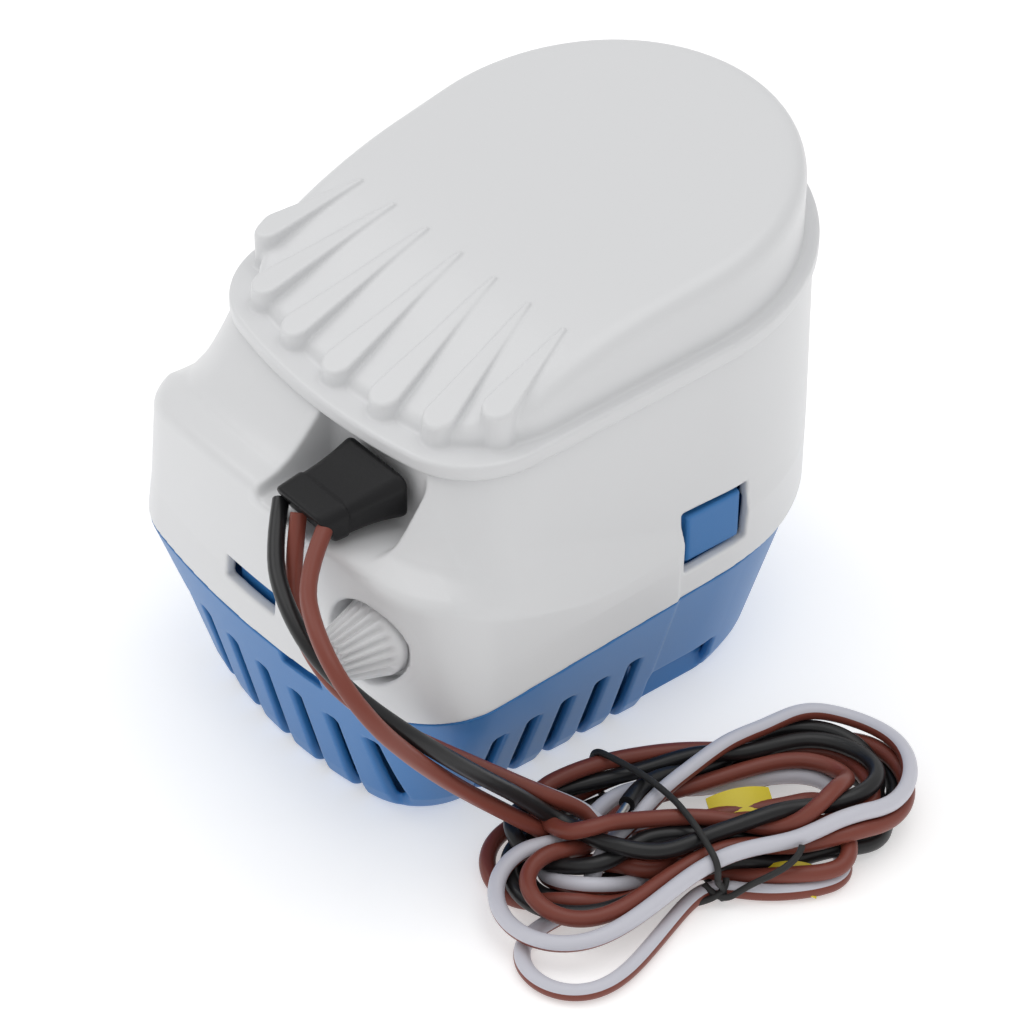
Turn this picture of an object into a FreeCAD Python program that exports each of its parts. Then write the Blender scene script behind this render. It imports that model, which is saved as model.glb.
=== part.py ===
"""Automatic bilge pump: strainer base, housing, motor, impeller, float switch and leads.

The origin is where the motor axis meets the floor.  +Z is up, -Y is the square end
that carries the wire boot and the test knob, +Y is the round end over the motor.
All sizes are in millimetres.
"""
import FreeCAD
import Part
import math
import os

Vec = FreeCAD.Vector
DOWN = Vec(0, 0, -1)
UP = Vec(0, 0, 1)
BACK = Vec(0, 1, 0)
LEFT = Vec(-1, 0, 0)

# ---- driving dimensions -------------------------------------------------------
SEAM_Z = 34.0                 # where the white housing meets the blue base
WALL = 2.3                    # housing wall
LIP_LOW = 81.7                # underside of the cap's lip at the motor axis
LIP_HEIGHT = 3.3
RIM_SLOPE = 0.10              # the rim rises towards the round end
CROWN_Z = 98.9                # top of the cap at the motor axis
CROWN_SLOPE = 0.15
LEDGE_BACK_Z = 46.0           # height of the shoulder ledge where it fades out
DECK_Z = 63.0                 # underside of the deck between wet and dry sides
DECK_THICK = 2.2
WELL_FLOOR_Z = 50.0           # underside of the motor well
MOTOR_RADIUS = 17.9
MOTOR_LOW = 53.0
MOTOR_HIGH = 88.0
SHAFT_RADIUS = 1.56
BUSH_BORE = 1.60
VOLUTE_LOW = 36.0
IMPELLER_LOW = 37.8
OUTLET_Y = 19.0               # centre line of the discharge
OUTLET_Z = 43.6
OUTLET_BORE = 6.0
KNOB_X = 30.0
KNOB_Z = 48.0
KNOB_RADIUS = 7.4
LEAD_RADIUS = 1.55

# Outlines are D shaped: a round end about (0, y), two front corners and a bowed front.
# (end radius, end y, corner x, corner y, corner radius, bow)
FLOOR_EDGE = (33.0, 0.5, 18.6, -49.6, 13.6, 2.2)
FLOOR_SIDE = (35.6, 0.4, 20.4, -50.2, 14.6, 2.2)
SEAM = (43.7, -0.2, 28.0, -53.9, 18.1, 2.4)
SKIRT_LOW = (43.7, 1.2, 27.9, -53.3, 17.7, 2.4)
LEDGE_OUTER = (43.4, 2.2, 27.4, -52.6, 17.3, 2.4)
LEDGE_INNER = (42.7, 3.2, 23.2, -45.2, 18.0, 2.2)
RIM = (42.3, 4.3, 21.5, -38.2, 18.1, 2.2)
CROWN = (39.4, 4.3, 21.5, -38.2, 15.2, 2.2)


# ---- outlines, lofts and small solids ------------------------------------------
def inset(spec, distance):
    end_r, end_y, corner_x, corner_y, corner_r, bow = spec
    return (end_r - distance, end_y, corner_x, corner_y, corner_r - distance, bow)


def arc_points(cx, cy, radius, start, stop, count):
    step = (stop - start) / count
    angles = [start + step * i for i in range(count + 1)]
    return [(cx + radius * math.cos(a), cy + radius * math.sin(a)) for a in angles]


def outline_runs(spec):
    """Four runs of plan points down the +X side, from the round end to the front."""
    end_r, end_y, corner_x, corner_y, corner_r, bow = spec
    reach = math.hypot(corner_x, corner_y - end_y)
    lean = math.atan2(corner_y - end_y, corner_x)
    side = lean + math.acos((end_r - corner_r) / reach)
    depth = bow + corner_r
    bow_r = (corner_x ** 2 + depth ** 2 - corner_r ** 2) / (2 * bow)
    bow_y = corner_y - depth + bow_r
    turn = math.atan2(corner_y - bow_y, corner_x)
    end = arc_points(0, end_y, end_r, math.pi / 2, side, 10)
    corner = arc_points(corner_x, corner_y, corner_r, side, turn, 8)
    front = arc_points(0, bow_y, bow_r, turn, -math.pi / 2, 6)
    (ax, ay), (bx, by) = end[-1], corner[0]
    line = [(ax + (bx - ax) * t / 8, ay + (by - ay) * t / 8) for t in range(9)]
    return [end, line, corner, front]


def outline_wire(spec, height):
    """Closed wire of an outline, lifted to height(x, y)."""
    right = outline_runs(spec)
    left = [[(-x, y) for x, y in reversed(run)] for run in reversed(right)]
    edges = []
    for run in right + left:
        curve = Part.BSplineCurve()
        curve.interpolate([Vec(x, y, height(x, y)) for x, y in run])
        edges.append(curve.toShape())
    return Part.Wire(edges)


def level(z):
    return lambda x, y: z


def sloped(z, slope):
    return lambda x, y: z + slope * y


def loft(*sections):
    return Part.makeLoft([outline_wire(spec, height) for spec, height in sections], True, True)


def cylinder(radius, z_low, z_high, x=0.0, y=0.0):
    return Part.makeCylinder(radius, z_high - z_low, Vec(x, y, z_low))


def tube(outer, inner, z_low, z_high, x=0.0, y=0.0):
    return cylinder(outer, z_low, z_high, x, y).cut(cylinder(inner, z_low, z_high, x, y))


def rod(radius, start, direction, length):
    return Part.makeCylinder(radius, length, start, direction)


def block(x0, x1, y0, y1, z0, z1):
    return Part.makeBox(x1 - x0, y1 - y0, z1 - z0, Vec(x0, y0, z0))


def revolve(profile):
    """Solid of revolution about Z from (radius, z) points."""
    points = [Vec(r, 0, z) for r, z in profile]
    face = Part.Face(Part.makePolygon(points + points[:1]))
    return face.revolve(Vec(0, 0, 0), UP, 360)


def joined(first, *others):
    return first.fuse(list(others))


def mirrored(shape):
    return shape.mirror(Vec(0, 0, 0), Vec(1, 0, 0))


# ---- heights of the shoulder ledge ----------------------------------------------
def clamp(value):
    return max(0.0, min(1.0, value))


def ledge_outer(x, y):
    """Edge of the ledge: high over the front, sweeping down along the sides."""
    sweep = clamp((-22 - y) / 38) ** 1.6
    arch = clamp((-50 - y) / 15) * (1 - clamp(abs(x) / 43) ** 1.6)
    return LEDGE_BACK_Z + 12.3 * sweep + 6.9 * arch


def ledge_inner(x, y):
    """Foot of the upper wall, where the ledge begins."""
    sweep = clamp((-8 - y) / 48) ** 1.1
    arch = clamp((-44 - y) / 15) * (1 - clamp(abs(x) / 40) ** 1.6)
    return LEDGE_BACK_Z + 3.2 + 13.0 * sweep + 5.0 * arch


def lowered(height, drop):
    return lambda x, y: height(x, y) - drop


# ---- strainer base ---------------------------------------------------------------
SLOT_WIDTH = 3.0
SIDE_SLOTS_Y = [-48.2 + 8.1 * i for i in range(5)]
FRONT_SLOTS_X = [-28.5 + 9.5 * i for i in range(7)]
SLOT_TOP = 20.5
RECESS_TOP = 11.0              # height of the plain recess behind the side slots
TAB_HALF = 7.0
TAB_TOP = 51.0
MOUNT_HOLES_Y = (-48.0, 24.0)
MOUNT_HOLE_RADIUS = 2.4


def strainer_base():
    shell = loft((FLOOR_EDGE, level(0)), (FLOOR_SIDE, level(5)), (SEAM, level(SEAM_Z)))
    hollow = loft((inset(FLOOR_EDGE, 1.6), level(2.4)), (inset(FLOOR_SIDE, 1.9), level(6)),
                  (inset(SEAM, 2.1), level(SEAM_Z)))
    base = shell.cut(hollow)
    rib = loft((inset(SEAM, 2.9), level(SEAM_Z - 4)), (inset(SEAM, 2.9), level(SEAM_Z + 2)))
    rib = rib.cut(loft((inset(SEAM, 4.5), level(SEAM_Z - 4)), (inset(SEAM, 4.5), level(SEAM_Z + 2))))
    base = base.fuse(rib)
    side_tab = block(38.6, 40.6, -TAB_HALF, TAB_HALF, SEAM_Z - 6, TAB_TOP)
    catch = block(40.6, 42.2, -TAB_HALF + 0.6, TAB_HALF - 0.6, 40.4, TAB_TOP)
    front_tab = block(-6.5, 6.5, -70.6, -68.8, SEAM_Z - 6, 44.4)
    base = base.fuse([side_tab.fuse(catch), mirrored(side_tab.fuse(catch)), front_tab])
    shelf = block(30.0, 46, -11, 9, RECESS_TOP, RECESS_TOP + 1.6)
    shelf = shelf.fuse(block(30.0, 31.6, -11, 9, 0, RECESS_TOP + 1.6)).common(shell)
    recess = block(31.6, 46, -9.5, 7.5, -1, RECESS_TOP)
    base = base.fuse([shelf, mirrored(shelf)]).cut([recess, mirrored(recess)])
    slots = [block(9.3, 19.8, -80, -71.2, SEAM_Z - 3, SEAM_Z + 1)]
    for y in SIDE_SLOTS_Y:
        slot = block(30.6, 46, y - SLOT_WIDTH / 2, y + SLOT_WIDTH / 2, -1, SLOT_TOP)
        slots += [slot, mirrored(slot)]
    for x in FRONT_SLOTS_X:
        slots.append(block(x - SLOT_WIDTH / 2, x + SLOT_WIDTH / 2, -80, -60.5, -1, SLOT_TOP + 2))
    slots += [cylinder(MOUNT_HOLE_RADIUS, -1, 4, 0, y) for y in MOUNT_HOLES_Y]
    slots.append(block(-50, -28, OUTLET_Y - 12.5, OUTLET_Y + 12.5, SEAM_Z - 2.4, SEAM_Z + 4))
    return base.cut(slots)


# ---- pump housing ------------------------------------------------------------------
BOOT_POCKET = (1.5, 28.5, -54.6, 63.2)      # x low, x high, back wall y, floor z
VOLUTE_OUTER = 29.0
VOLUTE_INNER = 25.5
WELL_OUTER = 20.8
WELL_INNER = 18.2
WELL_FLOOR_THICK = 2.5
BARB_START = -30.0
SPIGOT_RADIUS = 7.5
SOCKET_X = -44.0                            # mouth of the outlet socket
CORNER_POSTS = [(x, y) for x in (-24, 24) for y in (-38, 26)]


def boot_pocket(grow):
    x_low, x_high, y_back, z_floor = BOOT_POCKET
    return block(x_low - grow, x_high + grow, -84, y_back + grow, z_floor - grow, LIP_LOW)


def housing_shell():
    outer = loft((SEAM, level(SEAM_Z)), (SKIRT_LOW, level(42)), (LEDGE_OUTER, ledge_outer),
                 (LEDGE_INNER, ledge_inner), (inset(RIM, 1.0), sloped(LIP_LOW, RIM_SLOPE)))
    inner = loft((inset(SEAM, WALL), level(SEAM_Z)), (inset(SKIRT_LOW, WALL), level(40)),
                 (inset(LEDGE_OUTER, WALL), lowered(ledge_outer, 2.2)),
                 (inset(LEDGE_INNER, WALL), lowered(ledge_inner, 1.8)),
                 (inset(RIM, 1.0 + WALL), sloped(LIP_LOW, RIM_SLOPE)))
    return outer, inner


def pump_housing():
    outer, inner = housing_shell()
    shell = outer.cut(inner)
    deck = inner.common(block(-60, 60, -90, 60, DECK_Z, DECK_Z + DECK_THICK))
    well = cylinder(WELL_OUTER, WELL_FLOOR_Z, DECK_Z + 1)
    volute = cylinder(VOLUTE_OUTER, VOLUTE_LOW, WELL_FLOOR_Z + WELL_FLOOR_THICK)
    duct = rod(9.6, Vec(0, OUTLET_Y, OUTLET_Z), LEFT, -SOCKET_X)
    boss = rod(11.6, Vec(SOCKET_X + 6, OUTLET_Y, OUTLET_Z), LEFT, 6)
    duct = duct.fuse(boss).cut(cylinder(VOLUTE_OUTER + 0.6, 20, VOLUTE_LOW))
    cup = rod(KNOB_RADIUS + 2.8, Vec(KNOB_X, -84, KNOB_Z), BACK, 84 - 63.2).common(outer)
    liner = boot_pocket(2.0).common(outer)
    body = joined(shell, deck, well, volute, duct, cup, liner)
    cuts = [boot_pocket(0),
            cylinder(WELL_INNER, WELL_FLOOR_Z + WELL_FLOOR_THICK, DECK_Z + 4),
            cylinder(5.0, WELL_FLOOR_Z - 1, WELL_FLOOR_Z + 4),
            cylinder(VOLUTE_INNER, VOLUTE_LOW - 1, WELL_FLOOR_Z),
            rod(OUTLET_BORE, Vec(-2, OUTLET_Y, OUTLET_Z), LEFT, 60),
            rod(SPIGOT_RADIUS + 0.1, Vec(BARB_START + 0.2, OUTLET_Y, OUTLET_Z), LEFT, 40),
            rod(9.3, Vec(SOCKET_X + 1.6, OUTLET_Y, OUTLET_Z), LEFT, 8),
            rod(KNOB_RADIUS + 0.9, Vec(KNOB_X, -84, KNOB_Z), BACK, 84 - 66.2),
            rod(2.55, Vec(KNOB_X, -84, KNOB_Z), BACK, 30),
            rod(4.6, Vec(KNOB_X, -66.4, KNOB_Z), BACK, 2.0),
            block(11.2, 23.6, -60, -50, 65.2, 70.0),
            block(36, 50, -7.8, 7.8, 39.4, 52.4),
            mirrored(block(36, 50, -7.8, 7.8, 39.4, 52.4)),
            block(-7.2, 7.2, -80, -68, 40.2, 45.0)]
    cuts += [cylinder(1.7, DECK_Z - 1, DECK_Z + 4, x, y) for x, y in CORNER_POSTS]
    cuts += [cylinder(1.2, VOLUTE_LOW - 1, 44, x, y) for x, y in volute_screw_places()]
    return body.cut(cuts)


def volute_screw_places():
    angles = [math.radians(a) for a in (30, 210, 300)]
    return [(27.2 * math.cos(a), 27.2 * math.sin(a)) for a in angles]


# ---- top cap ---------------------------------------------------------------------------
RIB_TIPS = [(9.6 * i, -25.3) for i in range(-3, 4)]
RIB_NOSES = [(-34.0, -41.8), (-24.8, -49.4), (-12.8, -51.8), (0.0, -52.4),
             (12.8, -51.8), (24.8, -49.4), (32.4, -42.4)]
RIB_NOSE_Z = 83.6
RIB_TIP_Z = 95.0


def crown_height(x, y):
    return CROWN_Z + CROWN_SLOPE * y


def cap_rib(tip, nose):
    """Tapered finger with a flat top: narrow at the crown, round at the front."""
    along = Vec(nose[0] - tip[0], nose[1] - tip[1], 0).normalize()
    across = Vec(-along.y, along.x, 0)
    wires = []
    for (x, y), z, half in ((tip, RIB_TIP_Z, 0.5), (nose, RIB_NOSE_Z, 2.8)):
        top_left = Vec(x, y, z) + across * half
        top_right = Vec(x, y, z) - across * half
        foot_left = top_left + across * 0.6 + DOWN * 5
        foot_right = top_right - across * 0.6 + DOWN * 5
        wires.append(Part.makePolygon([top_left, top_right, foot_right, foot_left, top_left]))
    finger = Part.makeLoft(wires, True, True)
    end = Part.makeCone(3.4, 2.8, 5, Vec(nose[0], nose[1], RIB_NOSE_Z - 5), UP)
    return finger.fuse(end)


def top_cap():
    rim_low = sloped(LIP_LOW, RIM_SLOPE)
    rim_high = sloped(LIP_LOW + LIP_HEIGHT, RIM_SLOPE)
    lip = loft((RIM, rim_low), (RIM, rim_high))
    dome = loft((CROWN, rim_low), (inset(CROWN, 0.2), lowered(crown_height, 3.4)),
                (inset(CROWN, 1.2), lowered(crown_height, 1.0)), (inset(CROWN, 3.6), crown_height))
    slope = math.atan2(13.0, 27.0)
    cutter = block(-60, 60, -70, 0, 0, 40)
    cutter.rotate(Vec(0, 0, 0), Vec(1, 0, 0), math.degrees(slope))
    cutter.translate(Vec(0, -25.3, RIB_TIP_Z))
    dome = dome.cut(cutter)
    bowl = loft((inset(CROWN, 2.2), rim_low), (inset(CROWN, 2.4), lowered(crown_height, 6.4)),
                (inset(CROWN, 6.0), lowered(crown_height, 2.4)))
    cutter.translate(Vec(0, -1.0, -2.6))
    bowl = bowl.cut(cutter)
    ribs = [cap_rib(tip, nose) for tip, nose in zip(RIB_TIPS, RIB_NOSES)]
    cap = lip.fuse([dome] + ribs)
    groove = loft((inset(RIM, 1.9), rim_low), (inset(RIM, 1.9), sloped(LIP_LOW + 1, RIM_SLOPE)))
    groove = groove.cut(loft((inset(RIM, 3.2), rim_low), (inset(RIM, 3.2), rim_high)))
    posts = []
    for x, y in CORNER_POSTS:
        posts.append(cylinder(3.4, DECK_Z + DECK_THICK, 84, x, y))
        posts.append(cylinder(3.4, 82, 110, x, y).common(dome))
    pilots = [cylinder(1.2, DECK_Z, DECK_Z + 14, x, y) for x, y in CORNER_POSTS]
    return cap.cut([bowl, groove]).fuse(posts).cut(pilots)


def cap_gasket():
    low = sloped(LIP_LOW, RIM_SLOPE)
    high = sloped(LIP_LOW + 1, RIM_SLOPE)
    ring = loft((inset(RIM, 2.0), low), (inset(RIM, 2.0), high))
    return ring.cut(loft((inset(RIM, 3.1), low), (inset(RIM, 3.1), high)))


def screw(radius, head_radius, tip_z, head_z, x, y):
    """Pan-head screw pointing up, with its head below head_z."""
    shank = cylinder(radius, head_z, tip_z, x, y)
    head = cylinder(head_radius, head_z - 1.6, head_z, x, y)
    recess = block(x - 0.4, x + 0.4, y - 1.4, y + 1.4, head_z - 1.6, head_z - 0.8)
    return shank.fuse(head).cut(recess)


def cap_screws():
    screws = [screw(1.15, 2.8, DECK_Z + 12, DECK_Z, x, y) for x, y in CORNER_POSTS]
    return Part.makeCompound(screws)


# ---- motor -----------------------------------------------------------------------------------
def motor_can():
    outer = cylinder(MOTOR_RADIUS, MOTOR_LOW, MOTOR_HIGH)
    inner = cylinder(MOTOR_RADIUS - 0.9, MOTOR_LOW + 0.9, MOTOR_HIGH)
    return outer.cut([inner, cylinder(3.2, MOTOR_LOW - 1, MOTOR_LOW + 2)])


def motor_magnets():
    ring = tube(MOTOR_RADIUS - 1.0, 13.2, MOTOR_LOW + 5, MOTOR_LOW + 27)
    return ring.cut([block(-30, 30, -4, 4, MOTOR_LOW, MOTOR_HIGH)])


def motor_end_bell():
    disc = cylinder(MOTOR_RADIUS - 1.0, MOTOR_HIGH - 2.6, MOTOR_HIGH)
    boss = cylinder(5, MOTOR_HIGH, MOTOR_HIGH + 2.4)
    holders = [block(x, x + 8, -2.6, 2.6, MOTOR_HIGH - 7.0, MOTOR_HIGH - 2.6) for x in (-14, 6)]
    bell = joined(disc, boss, *holders)
    holes = [block(x, x + 8, -1.7, 1.7, MOTOR_HIGH - 6.0, MOTOR_HIGH - 3.2) for x in (-14, 6)]
    slots = [block(-1.9, 1.9, y - 0.3, y + 0.3, MOTOR_HIGH - 3, MOTOR_HIGH + 1) for y in (-11, 11)]
    return bell.cut(holes + slots + [cylinder(3.2, MOTOR_HIGH - 3, MOTOR_HIGH + 3)])


def bushing(z_low):
    return tube(3.2, BUSH_BORE, z_low, z_low + 3)


def carbon_brushes():
    blocks = [block(4.2, 10, -1.6, 1.6, MOTOR_HIGH - 5.9, MOTOR_HIGH - 3.3),
              block(-10, -4.2, -1.6, 1.6, MOTOR_HIGH - 5.9, MOTOR_HIGH - 3.3)]
    relief = cylinder(4.7, MOTOR_LOW, MOTOR_HIGH)
    return Part.makeCompound([piece.cut(relief) for piece in blocks])


def brush_springs():
    springs = [rod(1.1, Vec(side * 10, 0, MOTOR_HIGH - 4.6), Vec(side, 0, 0), 3.8) for side in (-1, 1)]
    return Part.makeCompound(springs)


def motor_terminals():
    blades = [block(-1.8, 1.8, y - 0.25, y + 0.25, MOTOR_HIGH - 2.8, MOTOR_HIGH + 5) for y in (-11, 11)]
    return Part.makeCompound(blades)


def motor_shaft():
    return cylinder(SHAFT_RADIUS, IMPELLER_LOW, MOTOR_HIGH + 1.6)


CORE_LOW = MOTOR_LOW + 7
CORE_HIGH = CORE_LOW + 17


def armature_core():
    core = tube(12.4, SHAFT_RADIUS, CORE_LOW, CORE_HIGH)
    slots = []
    for i in range(5):
        slot = block(5.6, 13, -1.0, 1.0, CORE_LOW - 1, CORE_HIGH + 1)
        slot.rotate(Vec(0, 0, 0), UP, 72 * i)
        slots.append(slot)
    return core.cut(slots)


def armature_windings():
    """Copper end turns above and below the core, one closed ring each."""
    turns = []
    for edge, side in ((CORE_LOW, -1), (CORE_HIGH, 1)):
        turns.append(revolve([(SHAFT_RADIUS + 1.2, edge), (11.2, edge), (11.2, edge + 2 * side),
                              (9.6, edge + 3.6 * side), (SHAFT_RADIUS + 1.2, edge + 3.6 * side)]))
    return Part.makeCompound(turns)


def commutator():
    low = CORE_HIGH + 4
    drum = tube(4.6, SHAFT_RADIUS, low, low + 4.2)
    gaps = []
    for i in range(5):
        gap = block(3.6, 5, -0.25, 0.25, low - 1, low + 3.4)
        gap.rotate(Vec(0, 0, 0), UP, 72 * i + 36)
        gaps.append(gap)
    return drum.cut(gaps)


def shaft_seal():
    low = WELL_FLOOR_Z + 0.2
    bore = SHAFT_RADIUS + 0.07
    return revolve([(bore, low), (4.9, low), (4.9, low + 2.2), (3.2, low + 2.2),
                    (2.4, low + 1), (bore, low + 1)])


# ---- pump end ------------------------------------------------------------------------------------
def impeller():
    top = WELL_FLOOR_Z - 1.4
    hub = revolve([(SHAFT_RADIUS, IMPELLER_LOW), (5.2, IMPELLER_LOW), (5.2, top - 2.2),
                   (18.6, top - 1.2), (18.6, top), (SHAFT_RADIUS, top)])
    vanes = []
    for i in range(5):
        sweep = tube(15.4, 14.0, IMPELLER_LOW + 0.8, top - 1, 13.0, 0)
        vane = sweep.common(cylinder(18.4, 30, top)).common(block(0, 20, 0, 20, 30, top))
        vane.rotate(Vec(0, 0, 0), UP, 72 * i)
        vanes.append(vane)
    return joined(hub, *vanes)


def volute_cover():
    plate = cylinder(VOLUTE_OUTER, VOLUTE_LOW - 2.2, VOLUTE_LOW)
    eye = tube(10.6, 8.8, VOLUTE_LOW - 4.6, VOLUTE_LOW - 2.2)
    holes = [cylinder(1.7, 30, 40, x, y) for x, y in volute_screw_places()]
    return plate.fuse(eye).cut([cylinder(8.8, 30, 40)] + holes).removeSplitter()


def volute_screws():
    places = volute_screw_places()
    return Part.makeCompound([screw(1.15, 2.6, 43, VOLUTE_LOW - 2.2, x, y) for x, y in places])


BARB_LENGTH = 38.0
BARB_NOSE_RADIUS = 9.2


def outlet_barb():
    """Hose tail: spigot, flange, three ridges and a plain nose, bored through."""
    flange = BARB_START - SOCKET_X + 0.2
    stations = [(SPIGOT_RADIUS, 0), (SPIGOT_RADIUS, flange), (11.5, flange), (11.5, flange + 2.6),
                (9.0, flange + 2.6), (9.0, 18)]
    for ridge in range(3):
        start = 18 + 4.6 * ridge
        stations += [(9.9, start), (9.0, start + 4.6)]
    stations += [(BARB_NOSE_RADIUS, 32), (BARB_NOSE_RADIUS, BARB_LENGTH)]
    profile = [(OUTLET_BORE, 0)] + stations + [(OUTLET_BORE, BARB_LENGTH)]
    barb = revolve(profile)
    barb.rotate(Vec(0, 0, 0), BACK, -90)
    barb.translate(Vec(BARB_START, OUTLET_Y, OUTLET_Z))
    return barb


def outlet_o_ring():
    ring = Part.makeTorus(8.4, 0.75, Vec(0, 0, 0), LEFT)
    ring.translate(Vec(SOCKET_X + 0.8, OUTLET_Y, OUTLET_Z))
    return ring


KNOB_END_RADIUS = 4.6
KNOB_END_Y = -78.0
KNOB_SKIRT_Y = -68.4
FLUTE_RADIUS = 0.7


# ---- float switch -----------------------------------------------------------------------------------
def test_knob():
    skirt = rod(KNOB_RADIUS, Vec(KNOB_X, KNOB_SKIRT_Y, KNOB_Z), BACK, 2.0)
    tip = Vec(KNOB_X, KNOB_END_Y, KNOB_Z)
    grip = Part.makeCone(KNOB_END_RADIUS, KNOB_RADIUS, KNOB_SKIRT_Y - KNOB_END_Y, tip, BACK)
    flutes = []
    for i in range(20):
        angle = math.radians(18 * i)
        outward = Vec(math.cos(angle), 0, math.sin(angle))
        start = tip + outward * (KNOB_END_RADIUS + 0.3)
        stop = Vec(KNOB_X, KNOB_SKIRT_Y, KNOB_Z) + outward * (KNOB_RADIUS + 0.3)
        flutes.append(rod(FLUTE_RADIUS, start, stop - start, (stop - start).Length))
    return grip.cut(flutes).fuse(skirt).cut(rod(2.5, Vec(KNOB_X, -70, KNOB_Z), BACK, 6))


def knob_o_ring():
    ring = Part.makeTorus(3.6, 0.95, Vec(0, 0, 0), BACK)
    ring.translate(Vec(KNOB_X, -65.4, KNOB_Z))
    return ring


BOARD_TOP = DECK_Z + DECK_THICK + 1.6
FLOAT_BOX = (2.0, 24.0, -58.0, -37.0, 38.4, 49.0)


def float_arm():
    pin = rod(2.5, Vec(KNOB_X, -70, KNOB_Z), BACK, 34)
    hub = rod(4.4, Vec(KNOB_X, -61.4, KNOB_Z), BACK, 25.4)
    web = block(24.2, 29, -58, -37, 45.4, 48.8)
    bars = [block(3, 26, y, y + 2, 49.2, 51.0) for y in (-57.6, -39.4)]
    risers = [block(24.2, 27, y, y + 2, 46, 51.0) for y in (-57.6, -39.4)]
    return joined(pin, hub, web, *bars, *risers)


def float_body():
    x0, x1, y0, y1, z0, z1 = FLOAT_BOX
    body = block(x0, x1, y0, y1, z0, z1)
    return body.makeFillet(1.6, body.Edges)


def float_magnet():
    return cylinder(2.4, 49.2, 52.0, 8.0, -47.5)


def reed_switch():
    return rod(1.3, Vec(8.0, -48, BOARD_TOP + 1.3), BACK, 15)


def control_board():
    board = block(-32, 32, -49.5, -27, DECK_Z + DECK_THICK, BOARD_TOP)
    return board.cut([cylinder(4.4, 60, 70, x, y) for x, y in CORNER_POSTS])


def board_relay():
    return block(-14, 4, -44, -29, BOARD_TOP, BOARD_TOP + 9)


# ---- wire boot and leads -------------------------------------------------------------------------------
BOOT_FACE = (14.1, -71.2, 66.9)              # centre of the face the leads leave
BOOT_TILT = math.radians(28)


def boot_section(y, z, x_mid, width, height, tilt):
    """Rounded rectangle across the boot, leaning by tilt."""
    half = width / 2
    r = min(2.6, height / 2 - 0.1)
    edges = []
    corners = [(half, height / 2), (-half, height / 2), (-half, -height / 2), (half, -height / 2)]
    rounds = []
    for i, (cx, cz) in enumerate(corners):
        mx = cx - math.copysign(r, cx)
        mz = cz - math.copysign(r, cz)
        start = math.pi / 2 * i
        rounds.append([(mx + r * math.cos(start + a), mz + r * math.sin(start + a))
                       for a in (0, math.pi / 4, math.pi / 2)])

    def place(u, v):
        return Vec(x_mid + u, y - v * math.sin(tilt), z + v * math.cos(tilt))

    for i, bend in enumerate(rounds):
        edges.append(Part.Arc(*[place(u, v) for u, v in bend]).toShape())
        edges.append(Part.LineSegment(place(*bend[2]), place(*rounds[(i + 1) % 4][0])).toShape())
    return Part.Wire(edges)


def wire_boot():
    x, y, z = BOOT_FACE
    neck = [boot_section(-51.6, 67.6, 17.4, 12.4, 4.8, 0), boot_section(-58.6, 67.6, 17.4, 12.4, 4.8, 0)]
    shoe = [boot_section(-58.6, 70.0, 17.6, 16.6, 7.6, 0), boot_section(-60.0, 69.9, 17.6, 18.0, 8.8, 0),
            boot_section(-63.4, 69.2, 17.1, 17.8, 8.2, BOOT_TILT / 2),
            boot_section(y + 4.4, z + 2.2, x + 0.9, 16.4, 6.6, BOOT_TILT),
            boot_section(y, z, x, 16.0, 6.2, BOOT_TILT)]
    return Part.makeLoft(neck, True, True).fuse(Part.makeLoft(shoe, True, True))


def tube_along(points, radius, name):
    """Straight runs joined by tangent arcs, swept with a round section."""
    nodes = [Vec(*p) for p in points]
    edges = []
    start = nodes[0]
    radii = []
    for before, here, after in zip(nodes, nodes[1:], nodes[2:]):
        a = before - here
        b = after - here
        run = min(a.Length, b.Length)
        turn = math.pi - a.getAngle(b)
        setback = 0.45 * run
        radii.append(round(setback / math.tan(turn / 2), 1))
        a.normalize()
        b.normalize()
        p = here + a * setback
        q = here + b * setback
        middle = (a + b).normalize()
        rise = radii_exact(setback, turn)
        mid = here + middle * rise
        edges.append(Part.LineSegment(start, p).toShape())
        edges.append(Part.Arc(p, mid, q).toShape())
        start = q
    edges.append(Part.LineSegment(start, nodes[-1]).toShape())
    spine = Part.Wire(edges)
    direction = (nodes[1] - nodes[0]).normalize()
    ring = Part.Wire(Part.makeCircle(radius, nodes[0], direction))
    solid = spine.makePipeShell([ring], True, False)
    ratio = solid.Volume / (math.pi * radius ** 2 * spine.Length)
    print(name, "length", round(spine.Length, 1), "volume ratio", round(ratio, 4), "radii", radii)
    return solid


def radii_exact(setback, turn):
    """Distance from a corner to the middle of its tangent arc."""
    radius = setback / math.tan(turn / 2)
    return radius / math.cos(turn / 2) - radius


LEAD_ROUTES = {
    "black_lead": [(7.6, -71.3, 66.1), (14.7, -78.6, 62.4), (24.3, -83.2, 59.6), (34.7, -85.1, 56.2),
                   (43.6, -82.5, 51.0), (49.5, -76.9, 44.3), (52.5, -70.0, 36.5), (53.7, -62.5, 28.1),
                   (53.4, -54.9, 19.5), (54.0, -47.9, 10.9)],
    "brown_white_lead": [(13.3, -71.6, 67.0), (17.9, -76.9, 59.0), (25.2, -81.2, 53.9),
                         (34.8, -82.7, 50.0), (41.3, -78.8, 44.0), (45.0, -71.8, 36.9),
                         (47.2, -64.1, 29.6), (49.2, -56.3, 22.3), (51.3, -48.8, 15.3),
                         (55.3, -41.6, 9.9)],
    "brown_lead": [(20.2, -71.3, 67.5), (25.8, -80.0, 64.6), (35.8, -85.5, 63.0), (45.4, -87.5, 58.8),
                   (51.2, -84.0, 50.2), (52.2, -77.6, 40.9), (51.8, -70.7, 31.8), (51.9, -63.7, 23.4),
                   (52.5, -55.9, 14.8), (54.2, -48.9, 7.4)],
}


def lead(name):
    return tube_along(LEAD_ROUTES[name], LEAD_RADIUS, name)


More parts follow.
